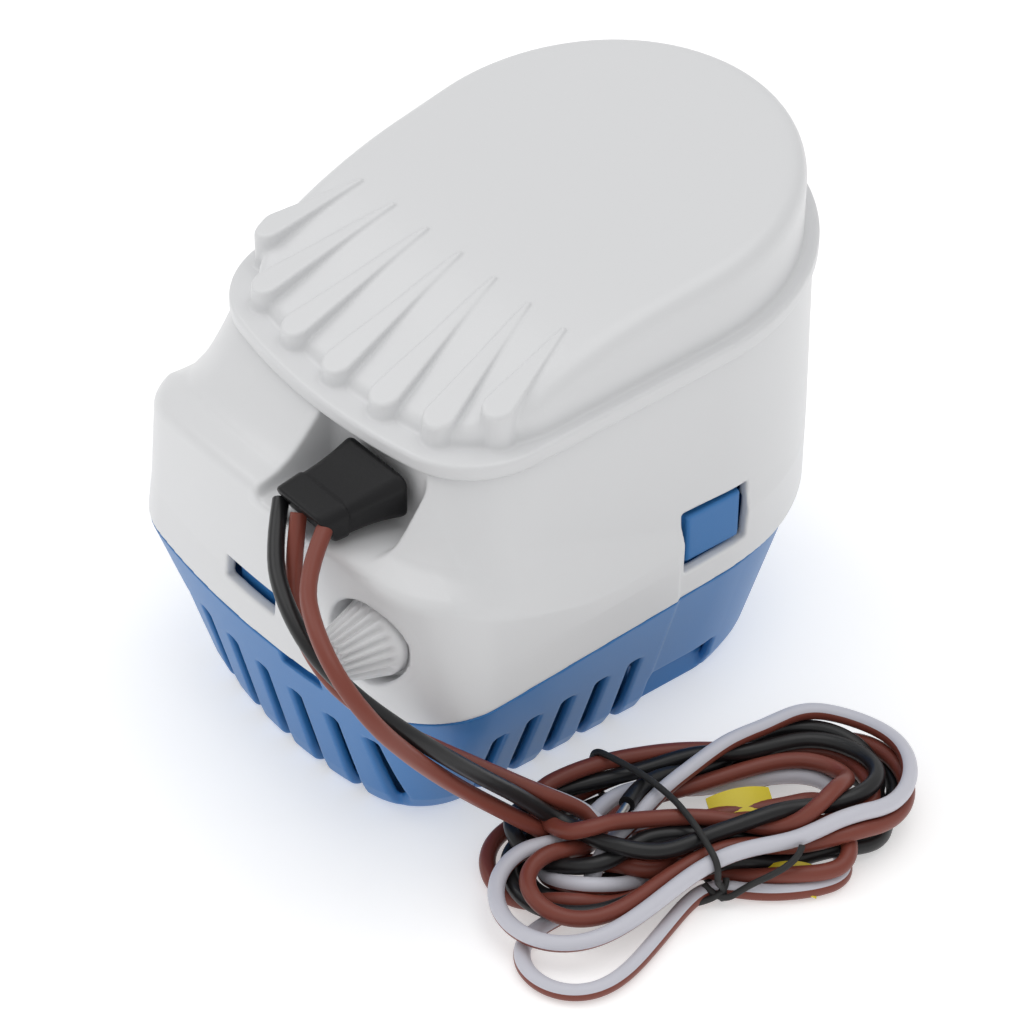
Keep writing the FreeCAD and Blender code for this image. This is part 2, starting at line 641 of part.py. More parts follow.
HANK_TOP = 10.5
HANK_OUTLINE = [(57, -63), (50, -56), (46.5, -46), (47.8, -31), (47.5, -18), (48, -6), (53, 4.5),
                (62, 11.5), (74, 14.5), (85, 12), (93, 6), (98, -3), (98.5, -12), (93, -20.5), (85, -27),
                (79.5, -33), (77, -42), (75, -51), (67, -60)]
LOOP_OUTLINE = [(60, -61), (63, -68), (72, -72.5), (83, -70.5), (93, -62), (96.5, -50), (92, -38), (80, -35)]


def smooth_prism(points, z_low, z_high):
    curve = Part.BSplineCurve()
    curve.interpolate([Vec(x, y, z_low) for x, y in points], PeriodicFlag=True)
    return Part.Face(Part.Wire(curve.toShape())).extrude(Vec(0, 0, z_high - z_low))


def lead_hank():
    return joined(smooth_prism(HANK_OUTLINE, 0, HANK_TOP), smooth_prism(LOOP_OUTLINE, 0, 3.4))


TIE_Y = -31.0
TIE_SPAN = (45.8, 83.4)


def twist_tie():
    """Wire tie over the waist of the hank, down to the floor on both sides."""
    low, high = TIE_SPAN
    outer = block(low, high, TIE_Y - 0.7, TIE_Y + 0.7, 0, HANK_TOP + 1.4)
    return outer.cut(block(low + 1.4, high - 1.4, TIE_Y - 1, TIE_Y + 1, -1, HANK_TOP))


def lead_label():
    return block(66, 78, -12, -6, HANK_TOP, HANK_TOP + 0.5)


def bare_ends():
    places = [(62, -38), (72, -35), (84, -20)]
    return Part.makeCompound([rod(0.8, Vec(x, y, HANK_TOP + 0.8), LEFT, 8) for x, y in places])


NODES = {
    "strainer_base": strainer_base, "pump_housing": pump_housing, "top_cap": top_cap,
    "cap_gasket": cap_gasket, "cap_screws": cap_screws, "motor_can": motor_can,
    "motor_magnets": motor_magnets, "motor_end_bell": motor_end_bell,
    "lower_bushing": lambda: bushing(MOTOR_LOW), "upper_bushing": lambda: bushing(MOTOR_HIGH - 1.0),
    "carbon_brushes": carbon_brushes, "brush_springs": brush_springs,
    "motor_terminals": motor_terminals, "motor_shaft": motor_shaft,
    "armature_core": armature_core, "armature_windings": armature_windings,
    "commutator": commutator, "shaft_seal": shaft_seal, "impeller": impeller,
    "volute_cover": volute_cover, "volute_screws": volute_screws, "outlet_barb": outlet_barb,
    "outlet_o_ring": outlet_o_ring, "test_knob": test_knob, "knob_o_ring": knob_o_ring,
    "float_arm": float_arm, "float_body": float_body, "float_magnet": float_magnet,
    "reed_switch": reed_switch, "control_board": control_board, "board_relay": board_relay,
    "wire_boot": wire_boot, "black_lead": lambda: lead("black_lead"),
    "brown_white_lead": lambda: lead("brown_white_lead"), "brown_lead": lambda: lead("brown_lead"),
    "lead_hank": lead_hank, "twist_tie": twist_tie, "lead_label": lead_label,
    "bare_ends": bare_ends,
}

os.makedirs("parts", exist_ok=True)
for node, make in NODES.items():
    shape = make()
    kinds = len(shape.Solids)
    print(f"{node}: solids {kinds} valid {shape.isValid()} volume {shape.Volume:.0f}")
    shape.exportStep(f"parts/{node}.step")
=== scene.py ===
import bpy
import math
import numpy as np
from mathutils import Matrix, Vector


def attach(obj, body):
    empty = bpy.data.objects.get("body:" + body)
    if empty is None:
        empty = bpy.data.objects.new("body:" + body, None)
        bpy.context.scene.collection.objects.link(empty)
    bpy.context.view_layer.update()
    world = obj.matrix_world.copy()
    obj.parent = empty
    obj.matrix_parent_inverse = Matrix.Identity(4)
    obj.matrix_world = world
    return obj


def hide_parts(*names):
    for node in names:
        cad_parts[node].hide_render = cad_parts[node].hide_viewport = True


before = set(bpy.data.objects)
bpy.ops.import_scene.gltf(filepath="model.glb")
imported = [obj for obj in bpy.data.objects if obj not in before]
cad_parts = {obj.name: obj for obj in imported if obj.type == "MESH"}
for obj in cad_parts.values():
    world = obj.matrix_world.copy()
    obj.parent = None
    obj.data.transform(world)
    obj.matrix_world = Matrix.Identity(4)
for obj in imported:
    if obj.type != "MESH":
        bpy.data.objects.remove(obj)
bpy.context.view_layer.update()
MM = 0.001

# ---- outlines: (end radius, end y, corner x, corner y, corner radius, bow) in millimetres ----
FLOOR_EDGE = (33.0, 0.5, 18.6, -49.6, 13.6, 2.2)
FLOOR_SIDE = (35.6, 0.4, 20.4, -50.2, 14.6, 2.2)
SEAM = (43.7, -0.2, 28.0, -53.9, 18.1, 2.4)
SKIRT_LOW = (43.7, 1.2, 27.9, -53.3, 17.7, 2.4)
LEDGE_OUTER = (43.4, 2.2, 27.4, -52.6, 17.3, 2.4)
LEDGE_INNER = (42.7, 3.2, 23.2, -45.2, 18.0, 2.2)
RIM = (42.3, 4.3, 21.5, -38.2, 18.1, 2.2)
CROWN = (39.4, 4.3, 21.5, -38.2, 15.2, 2.2)
SEAM_Z = 34.0
SKIRT_TOP = 42.0
WALL = 2.3
LIP_LOW = 81.7
LIP_HEIGHT = 3.3
RIM_SLOPE = 0.10
CROWN_Z = 98.9
CROWN_SLOPE = 0.15
KNOB = (30.0, 48.0)
OUTLET = (19.0, 43.6)


# ---- distance fields: negative inside, millimetres ----
def smin(a, b, k):
    h = np.clip(0.5 + 0.5 * (b - a) / k, 0.0, 1.0)
    return b + (a - b) * h - k * h * (1.0 - h)


def smax(a, b, k):
    return -smin(-a, -b, k)


def clamp(v, low=0.0, high=1.0):
    return np.clip(v, low, high)


def outline(x, y, spec, inset=0.0):
    """Distance to a D-shaped outline: round end, straight sides, round corners, bowed front."""
    end_r, end_y, cx, cy, cr, bow = spec
    end_r -= inset
    cr -= inset
    reach = math.hypot(cx, cy - end_y)
    side = math.atan2(cy - end_y, cx) + math.acos((end_r - cr) / reach)
    depth = bow + cr
    bow_r = (cx ** 2 + depth ** 2 - cr ** 2) / (2 * bow)
    bow_y = cy - depth + bow_r
    turn = math.atan2(cy - bow_y, cx)
    x = np.abs(x)
    end = np.hypot(x, y - end_y) - end_r
    flank = x * math.cos(side) + (y - end_y) * math.sin(side) - end_r
    corner = np.hypot(x - cx, y - cy) - cr
    front = np.hypot(x, y - bow_y) - bow_r
    on_end = np.arctan2(y - end_y, x) >= side
    on_flank = np.arctan2(y - cy, x - cx) >= side
    on_corner = np.arctan2(y - bow_y, x) >= turn
    return np.where(on_end, end, np.where(on_flank, flank, np.where(on_corner, corner, front)))


def stack(x, y, z, *stations):
    """Outline whose shape changes with height between (z, outline) stations."""
    total = 0.0
    for i, (level, spec) in enumerate(stations):
        weight = np.ones_like(z)
        if i > 0:
            weight = weight * clamp((z - stations[i - 1][0]) / (level - stations[i - 1][0]))
        if i < len(stations) - 1:
            weight = weight * clamp((stations[i + 1][0] - z) / (stations[i + 1][0] - level))
        total = total + weight * outline(x, y, spec)
    return total


def box(x, y, z, x0, x1, y0, y1, z0, z1, r=0.4):
    qx = np.abs(x - (x0 + x1) / 2) - (x1 - x0) / 2 + r
    qy = np.abs(y - (y0 + y1) / 2) - (y1 - y0) / 2 + r
    qz = np.abs(z - (z0 + z1) / 2) - (z1 - z0) / 2 + r
    away = np.sqrt(np.maximum(qx, 0) ** 2 + np.maximum(qy, 0) ** 2 + np.maximum(qz, 0) ** 2)
    return away + np.minimum(np.maximum(np.maximum(qx, qy), qz), 0) - r


def disc(u, v, w, radius, w0, w1, k=0.5):
    """Cylinder about the w direction."""
    return smax(np.hypot(u, v) - radius, np.abs(w - (w0 + w1) / 2) - (w1 - w0) / 2, k)


def rear_step(x, y):
    """The flanks stand back a little behind the middle of the pump."""
    return 0.5 * clamp((y + 9.6) / 0.9) * (1 - clamp((y - 9.0) / 16))


def ledge_heights(x, y):
    """Heights of the shoulder ledge's outer and inner edge, arched over the front."""
    sweep = clamp((-22 - y) / 38) ** 1.6
    arch = clamp((-50 - y) / 15) * (1 - clamp(np.abs(x) / 43) ** 1.6)
    outer = 46.0 + 12.3 * sweep + 6.9 * arch
    sweep = clamp((-8 - y) / 48) ** 1.1
    arch = clamp((-44 - y) / 15) * (1 - clamp(np.abs(x) / 40) ** 1.6)
    inner = 49.2 + 13.0 * sweep + 5.0 * arch
    return outer, inner


def housing_skin(x, y, z, inset=0.0):
    """Outside of the housing, or the room inside it when inset by the wall."""
    low, high = ledge_heights(x, y)
    at_low = outline(x, y, LEDGE_OUTER)
    at_high = outline(x, y, LEDGE_INNER)
    climb = clamp((z - SKIRT_TOP) / (low - SKIRT_TOP))
    skirt = stack(x, y, np.minimum(z, SKIRT_TOP), (SEAM_Z, SEAM), (SKIRT_TOP, SKIRT_LOW))
    lower = rear_step(x, y) * (1 - climb) + skirt * (1 - climb) + at_low * climb
    across = clamp(-at_low / np.maximum(at_high - at_low, 0.3), 0.0, 1.4)
    shelf = low + (high - low) * across
    rim_z = LIP_LOW + RIM_SLOPE * y
    rise = clamp((z - high) / (rim_z - high))
    upper = at_high * (1 - rise) + outline(x, y, RIM, 1.0) * rise
    front = clamp((-6 - y) / 26)
    body = smax(lower + inset, z - shelf + inset * 0.9, 0.6 + 1.3 * front)
    if inset:
        return np.minimum(body, upper + inset)
    tower = smax(upper, z - rim_z, 0.3)
    return smin(body, tower, 0.25 + 2.0 * front)


WELL_OUTER, WELL_BORE = 20.8, 18.2
VOLUTE_OUTER, VOLUTE_BORE = 29.0, 25.5
PARTITION_Z, PARTITION_HALF = 51.2, 1.25


def pump_housing(x, y, z):
    """Shell, deck, motor well, volute wall, outlet socket, knob cup and boot recess in one moulding."""
    skin = housing_skin(x, y, z)
    room = housing_skin(x, y, z, WALL)
    shell = smax(smax(skin, -room, 0.4), SEAM_Z - z, 0.4)
    deck = smax(np.abs(z - 64.1) - 1.1, room - 0.6, 0.3)
    r = np.hypot(x, y)
    partition = np.abs(z - PARTITION_Z) - PARTITION_HALF
    well = smax(smax(r - WELL_OUTER, np.abs(z - 57.0) - 7.0, 0.4), WELL_BORE - r, 0.4)
    well = np.minimum(well, smax(r - WELL_OUTER, partition, 0.4))
    volute = smax(smax(r - VOLUTE_OUTER, np.abs(z - 44.0) - 8.0, 0.5), VOLUTE_BORE - r, 0.4)
    volute = np.minimum(volute, smax(r - VOLUTE_OUTER, partition, 0.4))
    boss = disc(y - OUTLET[0], z - OUTLET[1], x, 11.6, -44.0, -38.0, 0.6)
    duct = disc(y - OUTLET[0], z - OUTLET[1], x, 9.6, -43.0, -20.0, 0.6)
    inside = skin - 0.1
    cup = smax(disc(x - KNOB[0], z - KNOB[1], y, 10.2, -84.0, -63.2), inside, 0.4)
    liner = smax(box(x, y, z, -0.5, 30.5, -84, -52.6, 61.2, 83.0, 0.8), inside, 0.4)
    liner = smax(liner, z - (LIP_LOW + RIM_SLOPE * y), 0.3)
    body = np.minimum(np.minimum(np.minimum(shell, deck), np.minimum(well, volute)),
                      np.minimum(np.minimum(duct, cup), liner))
    body = smin(body, boss, 1.2)
    pocket = box(x, y, z, 1.5, 28.5, -94, -54.6, 63.2, 96.0, 1.6)
    body = smax(body, -pocket, 0.9)
    cuts = [
        (box(x, y, z, 12.2, 20.8, -60, -50, 65.8, 69.8, 0.8), 0.4),
        (box(np.abs(x), y, z, 36, 50, -7.8, 7.8, 39.4, 52.4, 0.6), 0.5),
        (box(x, y, z, -7.2, 7.2, -80, -68, 40.2, 45.0, 0.6), 0.5),
        (disc(x - KNOB[0], z - KNOB[1], y, 8.3, -90, -66.2, 0.5), 0.5),
        (disc(y - OUTLET[0], z - OUTLET[1], x, 6.0, -60, -2), 0.4),
        (disc(y - OUTLET[0], z - OUTLET[1], x, 7.6, -60, -29.8), 0.4),
        (disc(x - KNOB[0], z - KNOB[1], y, 2.6, -90, -54), 0.4),
    ]
    for cut, k in cuts:
        body = smax(body, -cut, k)
    return body


SIDE_SLOTS = [-48.2 + 8.1 * i for i in range(5)]
FRONT_SLOTS = [-28.5 + 9.5 * i for i in range(7)]
SLOT_HALF = 1.5
SCREW_HOLES_Y = (-48.0, 24.0)


def strainer_base(x, y, z):
    """Slotted tub with its locating rib, latch tabs, side recesses and screw holes."""
    skin = stack(x, y, z, (0.0, FLOOR_EDGE), (5.0, FLOOR_SIDE), (SEAM_Z, SEAM)) + rear_step(x, y)
    body = smax(skin, -z, 2.4)
    body = smax(body, -smax(skin + 2.1, 2.4 - z, 1.0), 0.5)
    body = smax(body, z - SEAM_Z, 0.5)
    seam = outline(x, y, SEAM)
    rib = smax(np.abs(seam + 3.7) - 0.8, np.abs(z - 33.0) - 3.0, 0.4)
    body = np.minimum(body, rib)
    ax = np.abs(x)
    for at in SIDE_SLOTS:
        cut = box(ax, y, z, 30.6, 52, at - SLOT_HALF, at + SLOT_HALF, -9, 20.5, 0.7)
        body = smax(body, -cut, 0.8)
    for at in FRONT_SLOTS:
        cut = box(x, y, z, at - SLOT_HALF, at + SLOT_HALF, -90, -60.5, -9, 22.5, 0.7)
        body = smax(body, -cut, 0.8)
    recess = box(ax, y, z, 31.6, 52, -9.5, 7.5, -9, 11, 1.0)
    body = smax(body, -recess, 0.8)
    shelf = np.minimum(box(ax, y, z, 30.0, 44, -10.5, 8.5, 11.0, 12.6, 0.3),
                       box(ax, y, z, 30.0, 31.6, -10.5, 8.5, 0.2, 12.0, 0.3))
    body = np.minimum(body, smax(shelf, skin + 0.3, 0.4))
    body = smax(body, -box(x, y, z, 9.3, 19.8, -80, -71.2, 31, 38, 0.4), 0.4)
    for at in SCREW_HOLES_Y:
        body = smax(body, -disc(x, y - at, z, 2.4, -4, 8), 0.5)
    saddle = box(x, y, z, -52, -28, 6.5, 31.5, SEAM_Z - 2.4, SEAM_Z + 6)
    body = smax(body, -saddle, 0.4)
    tab = box(ax, y, z, 38.6, 40.6, -7, 7, 28, 51, 0.4)
    catch = box(ax, y, z, 40.4, 42.2, -6.4, 6.4, 40.4, 51, 0.6)
    front_tab = box(x, y, z, -6.5, 6.5, -70.6, -68.8, 28, 44.4, 0.4)
    return np.minimum(np.minimum(body, smin(tab, catch, 0.6)), front_tab)


RIB_TIP_Y = -25.3
RIB_TIPS = [(9.6 * i, RIB_TIP_Y) for i in range(-3, 4)]
RIB_NOSES = [(-34.0, -41.8), (-24.8, -49.4), (-12.8, -51.8), (0.0, -52.4),
             (12.8, -51.8), (24.8, -49.4), (32.4, -42.4)]
RIB_TIP_Z = 95.0
FALL_SLOPE = 13.0 / 27.0


def top_cap(x, y, z):
    """Lip, sloping crown and seven ribs that widen towards the front."""
    rim = outline(x, y, RIM)
    lip_low = LIP_LOW + RIM_SLOPE * y
    lip = smax(rim, np.abs(z - lip_low - LIP_HEIGHT / 2) - LIP_HEIGHT / 2, 0.9)
    crown = outline(x, y, CROWN)
    front = clamp((-36 - y) / 9)
    wall = crown + 2.3 * front
    roof = CROWN_Z + CROWN_SLOPE * y
    fall = RIB_TIP_Z + (y - RIB_TIP_Y) * FALL_SLOPE - 0.5 * clamp((-28 - y) / 16)
    roof = smin(roof, fall, 5.0)
    dome = smax(wall, z - roof, 4.6 - 2.2 * front)
    dome = smax(dome, lip_low - z, 0.4)
    ribs = None
    for (tx, ty), (nx, ny) in zip(RIB_TIPS, RIB_NOSES):
        run = math.hypot(nx - tx, ny - ty)
        ux, uy = (nx - tx) / run, (ny - ty) / run
        along = (x - tx) * ux + (y - ty) * uy
        share = clamp(along / run)
        across = np.hypot(x - tx - along.clip(0, run) * ux, y - ty - along.clip(0, run) * uy)
        half = 0.5 + 2.6 * share
        top = RIB_TIP_Z - 0.45 + ((ny - ty) * FALL_SLOPE + 2.3) * along / run
        rib = smax(across - half, z - top, 0.7)
        ribs = rib if ribs is None else np.minimum(ribs, rib)
    ribs = smax(ribs, lip_low + 0.4 - z, 0.4)
    ribs = smax(ribs, crown - 0.2, 0.6)
    cap = smin(smin(dome, ribs, 0.6), lip, 0.9)
    hollow = smax(wall + WALL, z - roof + 2.6, 2.0)
    cap = smax(cap, -hollow, 0.5)
    return cap


BOOT_END_Y = -71.2
BOOT_END_Z = 66.9
BOOT_ROUND = 2.4


def wire_boot(x, y, z):
    """Rubber plug: broad rounded back end, tapering and drooping to the end the leads leave."""
    run = (y - BOOT_END_Y) / 12.6
    ease = clamp(run, -0.3, 1.2)
    flare = clamp(run - 0.45, 0.0, 0.75) ** 2
    droop = math.radians(28)
    middle_z = BOOT_END_Z + 3.3 * ease - 0.5 * ease ** 2
    middle_x = 14.2 + 2.2 * ease
    half_w = 6.9 + 0.9 * ease + 1.7 * flare
    half_h = 3.2 + 0.6 * ease + 1.6 * flare
    collar = clamp((-67.0 - y) / 0.5)
    half_w = half_w + 0.3 * collar
    half_h = half_h + 0.25 * collar
    qx = np.abs(x - middle_x) - half_w + BOOT_ROUND
    qz = np.abs(z - middle_z) - half_h + BOOT_ROUND
    section = np.hypot(np.maximum(qx, 0), np.maximum(qz, 0)) + np.minimum(np.maximum(qx, qz), 0) - BOOT_ROUND
    lean = math.cos(droop) * (BOOT_END_Y - y) - math.sin(droop) * (z - BOOT_END_Z)
    shoe = smax(smax(section * 0.9, lean, 0.9), y + 56.6, 1.2)
    neck = box(x, y, z, 12.4, 20.6, -60, -51.6, 66.0, 69.6, 1.0)
    return smin(shoe, neck, 0.6)


# ---- a closed quad mesh of a distance field ----
CORNERS = [(i, j, k) for i in (0, 1) for j in (0, 1) for k in (0, 1)]


def surface_net(field, low, high, step):
    counts = [int(math.ceil((b - a) / step)) + 1 for a, b in zip(low, high)]
    axes = [a + step * np.arange(n) for a, n in zip(low, counts)]
    gx, gy, gz = (axes[0][:, None, None], axes[1][None, :, None], axes[2][None, None, :])
    values = np.broadcast_to(field(gx, gy, gz), counts).astype(np.float32)
    inside = values < 0
    cells = tuple(n - 1 for n in counts)
    total = np.zeros(cells, dtype=np.int8)
    for i, j, k in CORNERS:
        total += inside[i:i + cells[0], j:j + cells[1], k:k + cells[2]]
    active = np.argwhere((total > 0) & (total < 8))
    spots = np.zeros((len(active), 3))
    hits = np.zeros(len(active))
    for a in CORNERS:
        for axis in range(3):
            if a[axis]:
                continue
            b = tuple(a[n] + (n == axis) for n in range(3))
            va = values[tuple((active + a).T)]
            vb = values[tuple((active + b).T)]
            cross = (va < 0) != (vb < 0)
            t = va[cross] / (va[cross] - vb[cross])
            spot = np.tile(np.array(a, float), (len(t), 1))
            spot[:, axis] = t
            spots[cross] += spot
            hits[cross] += 1
    points = np.array(low) + step * (active + spots / hits[:, None])
    number = np.full(cells, -1, dtype=np.int32)
    number[tuple(active.T)] = np.arange(len(active))
    quads = []
    for axis in range(3):
        u, v = (axis + 1) % 3, (axis + 2) % 3
        first = [slice(None)] * 3
        second = [slice(None)] * 3
        first[axis] = slice(0, -1)
        second[axis] = slice(1, None)
        here = inside[tuple(first)]
        there = inside[tuple(second)]
        edges = np.argwhere(here != there)
        keep = (edges[:, u] > 0) & (edges[:, v] > 0) & (edges[:, u] < cells[u]) & (edges[:, v] < cells[v])
        edges = edges[keep]
        ring = []
        for du, dv in ((-1, -1), (0, -1), (0, 0), (-1, 0)):
            cell = edges.copy()
            cell[:, u] += du
            cell[:, v] += dv
            ring.append(number[tuple(cell.T)])
        faces = np.stack(ring, axis=1)
        outward = here[tuple(edges.T)]
        faces[~outward] = faces[~outward][:, ::-1]
        quads.append(faces)
    return points, np.concatenate(quads)


def settle(points, field, step):
    """Moves the points onto the field's zero surface."""
    h = 0.15 * step
    for _ in range(3):
        x, y, z = points.T
        value = field(x, y, z)
        slope = np.stack([(field(x + h, y, z) - field(x - h, y, z)) / (2 * h),
                          (field(x, y + h, z) - field(x, y - h, z)) / (2 * h),
                          (field(x, y, z + h) - field(x, y, z - h)) / (2 * h)], axis=1)
        size = np.maximum((slope ** 2).sum(axis=1), 0.2)
        move = -slope * (value / size)[:, None]
        length = np.linalg.norm(move, axis=1)[:, None]
        move *= np.minimum(1.0, 0.4 * step / np.maximum(length, 1e-9))
        points = points + move
    return points


def mesh_object(name, points, faces, smooth=True):
    mesh = bpy.data.meshes.new(name)
    faces = np.asarray(faces)
    width = faces.shape[1]
    mesh.vertices.add(len(points))
    mesh.vertices.foreach_set("co", (np.asarray(points) * MM).astype(np.float32).ravel())
    mesh.loops.add(faces.size)
    mesh.loops.foreach_set("vertex_index", faces.astype(np.int32).ravel())
    mesh.polygons.add(len(faces))
    mesh.polygons.foreach_set("loop_start", np.arange(0, faces.size, width, dtype=np.int32))
    mesh.polygons.foreach_set("loop_total", np.full(len(faces), width, dtype=np.int32))
    mesh.polygons.foreach_set("use_smooth", np.full(len(faces), smooth))
    mesh.update()
    mesh.validate()
    made = bpy.data.objects.new(name, mesh)
    bpy.context.scene.collection.objects.link(made)
    return made


def moulded(name, field, low, high, step):
    step = step * 1.0
    points, faces = surface_net(field, low, high, step)
    return mesh_object(name, settle(points, field, step), faces)


# ---- materials ----
def material(name, color, roughness=0.4, metallic=0.0, bump=0.0, grain=900.0, tint=0.0):
    made = bpy.data.materials.new(name)
    made.use_nodes = True
    nodes, links = made.node_tree.nodes, made.node_tree.links
    shader = nodes["Principled BSDF"]
    shader.inputs["Base Color"].default_value = (*color, 1)
    shader.inputs["Roughness"].default_value = roughness
    shader.inputs["Metallic"].default_value = metallic
    if bump or tint:
        place = nodes.new("ShaderNodeTexCoord")
        noise = nodes.new("ShaderNodeTexNoise")
        noise.inputs["Scale"].default_value = grain
        noise.inputs["Detail"].default_value = 3
        links.new(place.outputs["Object"], noise.inputs["Vector"])
    if bump:
        lift = nodes.new("ShaderNodeBump")
        lift.inputs["Strength"].default_value = bump
        lift.inputs["Distance"].default_value = 0.0002
        links.new(noise.outputs["Fac"], lift.inputs["Height"])
        links.new(lift.outputs["Normal"], shader.inputs["Normal"])
    if tint:
        mix = nodes.new("ShaderNodeMix")
        mix.data_type = "RGBA"
        mix.inputs[6].default_value = (*color, 1)
        mix.inputs[7].default_value = (*[c * (1 - tint) for c in color], 1)
        links.new(noise.outputs["Fac"], mix.inputs[0])
        links.new(mix.outputs[2], shader.inputs["Base Color"])
    return made


def set_material(obj, made):
    obj.data.materials.clear()
    obj.data.materials.append(made)


WHITE = material("white_plastic", (0.71, 0.715, 0.725), 0.33, bump=0.05, grain=2500)
BLUE = material("blue_plastic", (0.028, 0.165, 0.43), 0.36, bump=0.08, grain=2200)
BLACK = material("black_rubber", (0.012, 0.012, 0.013), 0.42, bump=0.15, grain=1500)
DARK = material("dark_plastic", (0.03, 0.03, 0.03), 0.5)
STEEL = material("steel", (0.55, 0.55, 0.56), 0.35, 1.0)
COPPER = material("copper", (0.75, 0.38, 0.2), 0.35, 1.0)
BRONZE = material("bronze", (0.6, 0.42, 0.22), 0.45, 1.0)
TIN = material("tin", (0.62, 0.61, 0.58), 0.3, 1.0)
YELLOW = material("yellow_tape", (0.72, 0.58, 0.02), 0.4)
GREEN = material("board", (0.05, 0.25, 0.1), 0.4)
IVORY = material("ivory_plastic", (0.72, 0.7, 0.62), 0.45)
GLASS = material("reed_glass", (0.6, 0.8, 0.7), 0.1)

PLAIN = {
    "cap_gasket": DARK, "cap_screws": STEEL, "motor_can": STEEL, "motor_magnets": DARK,
    "motor_end_bell": IVORY, "lower_bushing": BRONZE, "upper_bushing": BRONZE, "carbon_brushes": DARK,
    "brush_springs": STEEL, "motor_terminals": BRONZE, "motor_shaft": STEEL, "armature_core": STEEL,
    "armature_windings": COPPER, "commutator": COPPER, "shaft_seal": DARK, "impeller": DARK,
    "volute_cover": WHITE, "volute_screws": STEEL, "outlet_barb": WHITE, "outlet_o_ring": DARK,
    "knob_o_ring": DARK, "float_arm": DARK, "float_body": DARK, "float_magnet": STEEL,
    "reed_switch": GLASS, "control_board": GREEN, "board_relay": DARK,
}
for node, made in PLAIN.items():
    set_material(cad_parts[node], made)


def stand_for(obj, node, made, body="pump"):
    """The drawn piece takes the place of a CAD node and moves with its body."""
    set_material(obj, made)
    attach(obj, body)
    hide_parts(node)


# ---- moulded parts ----
housing = moulded("housing", pump_housing, (-47.5, -76, 32.5), (47.5, 49, 87.5), 0.42)
stand_for(housing, "pump_housing", WHITE)
cap = moulded("cap", top_cap, (-43.5, -60, 74), (43.5, 48, 106.5), 0.34)
stand_for(cap, "top_cap", WHITE)
base = moulded("base", strainer_base, (-47.5, -76, -1.2), (47.5, 45.5, 53), 0.42)
stand_for(base, "strainer_base", BLUE)
boot = moulded("boot", wire_boot, (2, -76, 58), (30, -50, 78), 0.25)
stand_for(boot, "wire_boot", BLACK)


# ---- fluted knob ----
KNOB_FLUTES = 20
KNOB_AROUND = 240
FLUTE_DEPTH = 0.85


def knob_mesh():
    """Tapered grip turned about y, with flutes that fade out at both ends."""
    stations = [(-66.4, 2.5), (-66.4, 7.2), (-66.6, 7.4), (-68.3, 7.4)]
    count = 14
    for i in range(count + 1):
        t = i / count
        stations.append((-68.5 - 9.2 * t, 7.35 - 2.75 * t))
    stations += [(-77.9, 4.4), (-78.0, 4.1), (-78.0, 2.0), (-78.0, 0.01)]
    around = KNOB_AROUND
    points, faces = [], []
    for row, (y, radius) in enumerate(stations):
        depth = 0.0
        if 3 <= row <= count + 5:
            depth = FLUTE_DEPTH * clamp((-69.0 - y) / 0.7) * clamp((y + 78.2) / 0.6)
        for n in range(around):
            a = 2 * math.pi * n / around
            wave = 0.5 + 0.5 * math.cos(KNOB_FLUTES * a)
            r = radius - depth * wave ** 1.5 * clamp((radius - 3.2) / 1.0)
            points.append((KNOB[0] + r * math.cos(a), y, KNOB[1] + r * math.sin(a)))
    rows = len(stations)
    for row in range(rows - 1):
        for n in range(around):
            m = (n + 1) % around
            faces.append((row * around + n, row * around + m, (row + 1) * around + m, (row + 1) * around + n))
    for n in range(around):
        m = (n + 1) % around
        faces.append((n, (rows - 1) * around + n, (rows - 1) * around + m, m))
    return np.array(points), np.array(faces)


knob = mesh_object("knob", *knob_mesh())
stand_for(knob, "test_knob", WHITE, "float_lever")


# ---- leads ----
LEAD_D = 3.1
ROUTES = {
    "black": [(7.6, -71.3, 66.1), (14.7, -78.6, 62.4), (24.3, -83.2, 59.6), (34.7, -85.1, 56.2),
              (43.6, -82.5, 51.0), (49.5, -76.9, 44.3), (52.5, -70.0, 36.5), (53.7, -62.5, 28.1),
              (53.4, -54.9, 19.5), (54.0, -47.9, 10.9)],
    "brown_white": [(13.3, -71.6, 67.0), (17.9, -76.9, 59.0), (25.2, -81.2, 53.9), (34.8, -82.7, 50.0),
                    (41.3, -78.8, 44.0), (45.0, -71.8, 36.9), (47.2, -64.1, 29.6), (49.2, -56.3, 22.3),
                    (51.3, -48.8, 15.3), (55.3, -41.6, 9.9)],
    "brown": [(20.2, -71.3, 67.5), (25.8, -80.0, 64.6), (35.8, -85.5, 63.0), (45.4, -87.5, 58.8),
              (51.2, -84.0, 50.2), (52.2, -77.6, 40.9), (51.8, -70.7, 31.8), (51.9, -63.7, 23.4),
              (52.5, -55.9, 14.8), (54.2, -48.9, 7.4)],
}
